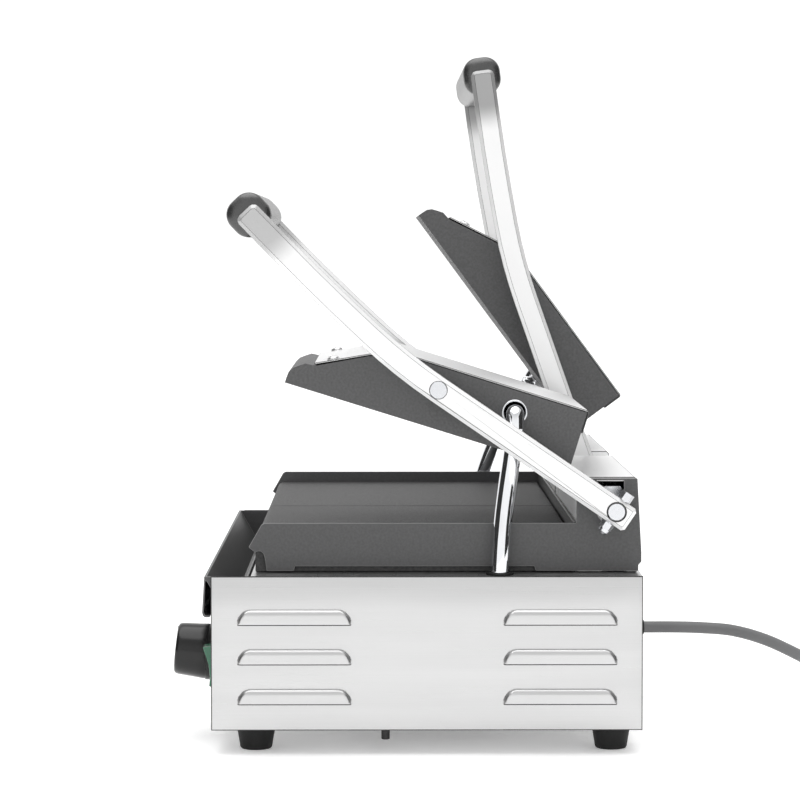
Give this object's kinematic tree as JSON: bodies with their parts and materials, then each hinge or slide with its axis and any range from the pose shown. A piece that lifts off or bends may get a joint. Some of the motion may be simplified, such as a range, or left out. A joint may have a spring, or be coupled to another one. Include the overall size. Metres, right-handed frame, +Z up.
{
  "type": "panini press",
  "caption": "Double contact grill: steel base with front drip tray and knobs, heated lower plates, and upper platens hung on hinged side arms with bar grips.",
  "frame": {"origin": "middle of the footprint on the surface it stands on, the power cord left out of the box", "axes": "+X towards the half-open press's side, -Y towards the knobs at the front, +Z up"},
  "size_m": [0.5784, 0.7591, 0.5761],
  "materials": {
    "brushed_steel": "fine horizontal brush lines, satin",
    "polished_steel": "bright polished, mirror-like with faint lines",
    "black_sheet": "semi-gloss black coating",
    "cast_iron": "dark grey enamelled iron, fine grain",
    "grip_plastic": "glossy black",
    "black_plastic": "satin black",
    "rubber": "matte black",
    "green_plastic": "translucent green rocker",
    "element_sheath": "dark oxidised heating tube",
    "chrome": "bright plated",
    "cord_sheath": "grey cord sheath",
    "plated_steel": "bright zinc plate"
  },
  "bodies": {
    "base": {"bottom_plate": "brushed_steel", "front_panel": "brushed_steel", "rear_panel": "brushed_steel", "deck": "brushed_steel", "rear_splash_wall": "black_sheet", "underside_stud": "black_plastic", "cord_gland": "rubber", "power_cord": "cord_sheath", "cord_coil": "cord_sheath", "plug": "black_plastic", "right_side_panel": "brushed_steel", "front_right_foot": "rubber", "rear_right_foot": "rubber", "right_thermostat": "plated_steel", "right_lower_plate": "cast_iron", "right_lower_element": "element_sheath", "right_splash_guard": "black_sheet", "right_rear_cover": "polished_steel", "right_outer_bearing": "plated_steel", "right_inner_bearing": "plated_steel", "right_counterbalance_spring": "plated_steel", "right_conduit": "chrome", "left_side_panel": "brushed_steel", "front_left_foot": "rubber", "rear_left_foot": "rubber", "left_thermostat": "plated_steel", "left_lower_plate": "cast_iron", "left_lower_element": "element_sheath", "left_splash_guard": "black_sheet", "left_rear_cover": "polished_steel", "left_outer_bearing": "plated_steel", "left_inner_bearing": "plated_steel", "left_counterbalance_spring": "plated_steel", "left_conduit": "chrome"},
    "drip_tray": {"drip_tray": "black_sheet"},
    "right_handle": {"right_outer_arm": "polished_steel", "right_inner_arm": "polished_steel", "right_grip": "grip_plastic", "right_pivot_shaft": "plated_steel", "right_outer_clamp_bolt": "plated_steel", "right_inner_clamp_bolt": "plated_steel"},
    "right_platen": {"right_platen_casting": "cast_iron", "right_platen_cover": "polished_steel", "right_platen_element": "element_sheath", "right_platen_rod": "plated_steel"},
    "right_knob": {"right_knob": "black_plastic"},
    "right_switch": {"right_switch": "green_plastic"},
    "left_handle": {"left_outer_arm": "polished_steel", "left_inner_arm": "polished_steel", "left_grip": "grip_plastic", "left_pivot_shaft": "plated_steel", "left_outer_clamp_bolt": "plated_steel", "left_inner_clamp_bolt": "plated_steel"},
    "left_platen": {"left_platen_casting": "cast_iron", "left_platen_cover": "polished_steel", "left_platen_element": "element_sheath", "left_platen_rod": "plated_steel"},
    "left_knob": {"left_knob": "black_plastic"},
    "left_switch": {"left_switch": "green_plastic"}
  },
  "joints": [
    {"name": "right_arm_hinge", "type": "hinge", "parent": "base", "child": "right_handle", "pos_m": [0.1475, 0.16514, 0.1947], "axis": [-1, 0, 0], "range_deg": [-30.3, 35.7], "deforming": ["right_conduit"]},
    {"name": "right_platen_hinge", "type": "hinge", "parent": "right_handle", "child": "right_platen", "pos_m": [0.1475, 0.02272, 0.29221], "axis": [-1, 0, 0], "range_deg": [-15.34, 13.02]},
    {"name": "right_knob_turn", "type": "hinge", "parent": "base", "child": "right_knob", "pos_m": [0.19, -0.17636, 0.07144], "axis": [0, 0.9945, -0.1045], "range_deg": [0, 270]},
    {"name": "right_switch_rock", "type": "hinge", "parent": "base", "child": "right_switch", "pos_m": [0.24, -0.15436, 0.066], "axis": [-1, 0, 0], "range_deg": [0, 14]},
    {"name": "left_arm_hinge", "type": "hinge", "parent": "base", "child": "left_handle", "pos_m": [-0.1475, 0.16514, 0.1947], "axis": [-1, 0, 0], "range_deg": [-66.5, 0], "deforming": ["left_conduit"]},
    {"name": "left_platen_hinge", "type": "hinge", "parent": "left_handle", "child": "left_platen", "pos_m": [-0.1475, 0.10781, 0.3575], "axis": [-1, 0, 0], "range_deg": [0, 13.02]},
    {"name": "left_knob_turn", "type": "hinge", "parent": "base", "child": "left_knob", "pos_m": [-0.19, -0.17636, 0.07144], "axis": [0, 0.9945, -0.1045], "range_deg": [0, 270]},
    {"name": "left_switch_rock", "type": "hinge", "parent": "base", "child": "left_switch", "pos_m": [-0.24, -0.15436, 0.066], "axis": [-1, 0, 0], "range_deg": [0, 14]},
    {"name": "drip_tray_slide", "type": "slide", "parent": "base", "child": "drip_tray", "axis": [0, -0.485, 0.8745], "range_m": [0, 0.06]}
  ],
  "couplings": [
    {"joint": "right_platen_hinge", "follows": "right_arm_hinge", "ratio": -0.42904},
    {"joint": "left_platen_hinge", "follows": "left_arm_hinge", "ratio": -0.19549}
  ]
}
